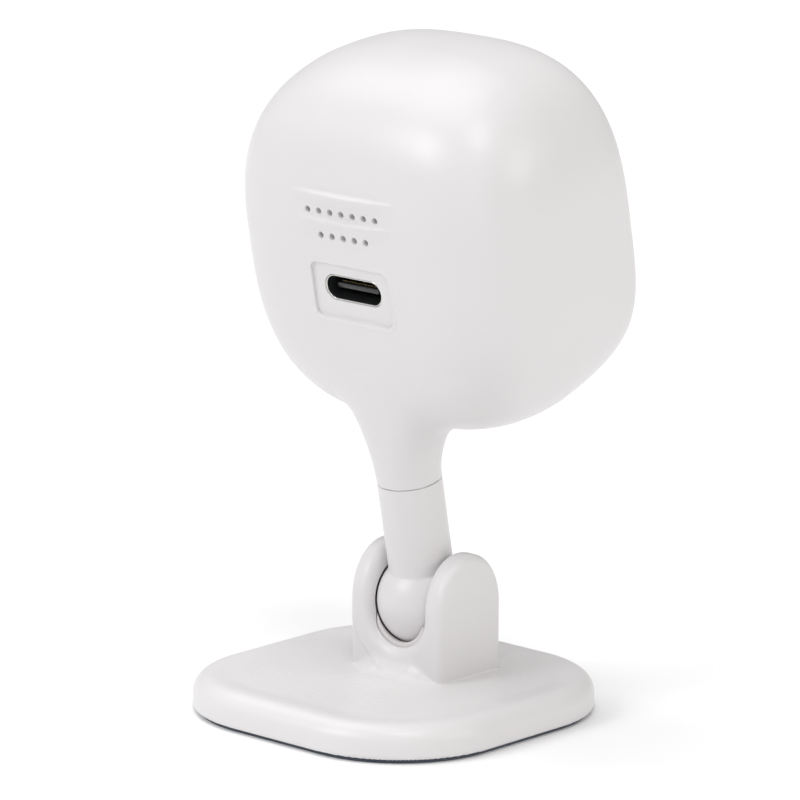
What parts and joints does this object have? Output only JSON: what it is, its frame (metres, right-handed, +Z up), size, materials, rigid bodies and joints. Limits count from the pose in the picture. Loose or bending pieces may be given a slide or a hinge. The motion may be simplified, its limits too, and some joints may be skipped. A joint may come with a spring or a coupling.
{
  "type": "security camera",
  "caption": "Small indoor security camera: pebble-shaped head with USB-C inlet and speaker holes on a swivelling neck, ball joint in a fork, weighted rounded square foot.",
  "frame": {"origin": "centre of the foot's underside, on the surface the camera stands on", "axes": "+Z up, -Y towards where the lens looks with the head upright and unswivelled, +Y the side with the inlet and the speaker holes, +X to the right when looking along +Y"},
  "size_m": [0.0442, 0.0442, 0.081],
  "materials": {
    "white_plastic": "satin moulded",
    "cup_plastic": "smooth",
    "grey_plastic": "fine texture",
    "silicone": "soft",
    "foot_rubber": "matt",
    "steel": "zinc plated",
    "weight_steel": "rolled",
    "dark_window": "polished",
    "black_plastic": "fine texture",
    "circuit_board": "solder mask",
    "clear_resin": "clear",
    "black_metal": "black anodised",
    "lens_glass": "coated",
    "filter_glass": "coated",
    "copper": "enamelled wire",
    "chip_epoxy": "matt",
    "shield_tin": "tinned",
    "ribbon_film": "polyimide film",
    "inlet_nickel": "nickel plated",
    "inlet_plastic": "moulded",
    "gold": "gold plated",
    "speaker_film": "thin film",
    "foam": "open cell foam",
    "mesh_cloth": "woven",
    "black_rubber": "smooth"
  },
  "bodies": {
    "base": {"base_cover": "white_plastic", "socket_cup": "cup_plastic", "pressure_pad": "silicone", "cup_retainer": "steel", "retainer_screws": "steel", "base_weight": "weight_steel", "bottom_cover": "grey_plastic", "cover_screws": "steel", "foot_pad": "foot_rubber"},
    "stem": {"ball_stem": "white_plastic", "swivel_washer": "steel", "swivel_screw": "steel"},
    "head": {"rear_shell": "white_plastic", "friction_washer": "cup_plastic", "front_window": "dark_window", "front_frame": "black_plastic", "ir_board": "circuit_board", "ir_leds": "clear_resin", "light_sensor": "clear_resin", "status_led": "clear_resin", "microphone": "shield_tin", "lens_barrel": "black_metal", "lens_front_glass": "lens_glass", "lens_rear_glass": "lens_glass", "lens_holder": "black_plastic", "filter_box": "black_plastic", "filter_coil": "copper", "image_sensor": "chip_epoxy", "main_board": "circuit_board", "processor": "chip_epoxy", "thermal_pad": "silicone", "shield_can": "shield_tin", "memory_chip": "chip_epoxy", "board_header": "black_plastic", "frame_screws": "steel", "ribbon_cable": "ribbon_film", "usb_shell": "inlet_nickel", "usb_tongue": "inlet_plastic", "usb_contacts": "gold", "usb_board": "circuit_board", "speaker_frame": "black_plastic", "speaker_cone": "speaker_film", "speaker_magnet": "steel", "speaker_gasket": "foam", "dust_mesh": "mesh_cloth", "wifi_aerial": "copper", "aerial_cable": "black_rubber", "reset_switch": "black_plastic", "reset_board": "circuit_board"},
    "filter": {"filter_shuttle": "black_plastic", "ir_cut_glass": "filter_glass", "clear_glass": "lens_glass"},
    "reset_button": {"reset_plunger": "white_plastic"}
  },
  "joints": [
    {"name": "head_tilt", "type": "hinge", "parent": "base", "child": "stem", "pos_m": [0, -0.00555, 0.0126], "axis": [1, 0, 0], "range_deg": [-48, 71]},
    {"name": "head_swivel", "type": "hinge", "parent": "stem", "child": "head", "pos_m": [0, -0.00555, 0.0126], "axis": [0, 0.1949, 0.9808], "continuous": true},
    {"name": "filter_slide", "type": "slide", "parent": "head", "child": "filter", "axis": [1, 0, 0], "range_m": [0, 0.0056]},
    {"name": "reset_press", "type": "slide", "parent": "head", "child": "reset_button", "axis": [-1, 0, 0], "range_m": [0, 0.00025], "stiffness_N_per_m": 1500, "springref_m": -0.0002}
  ]
}
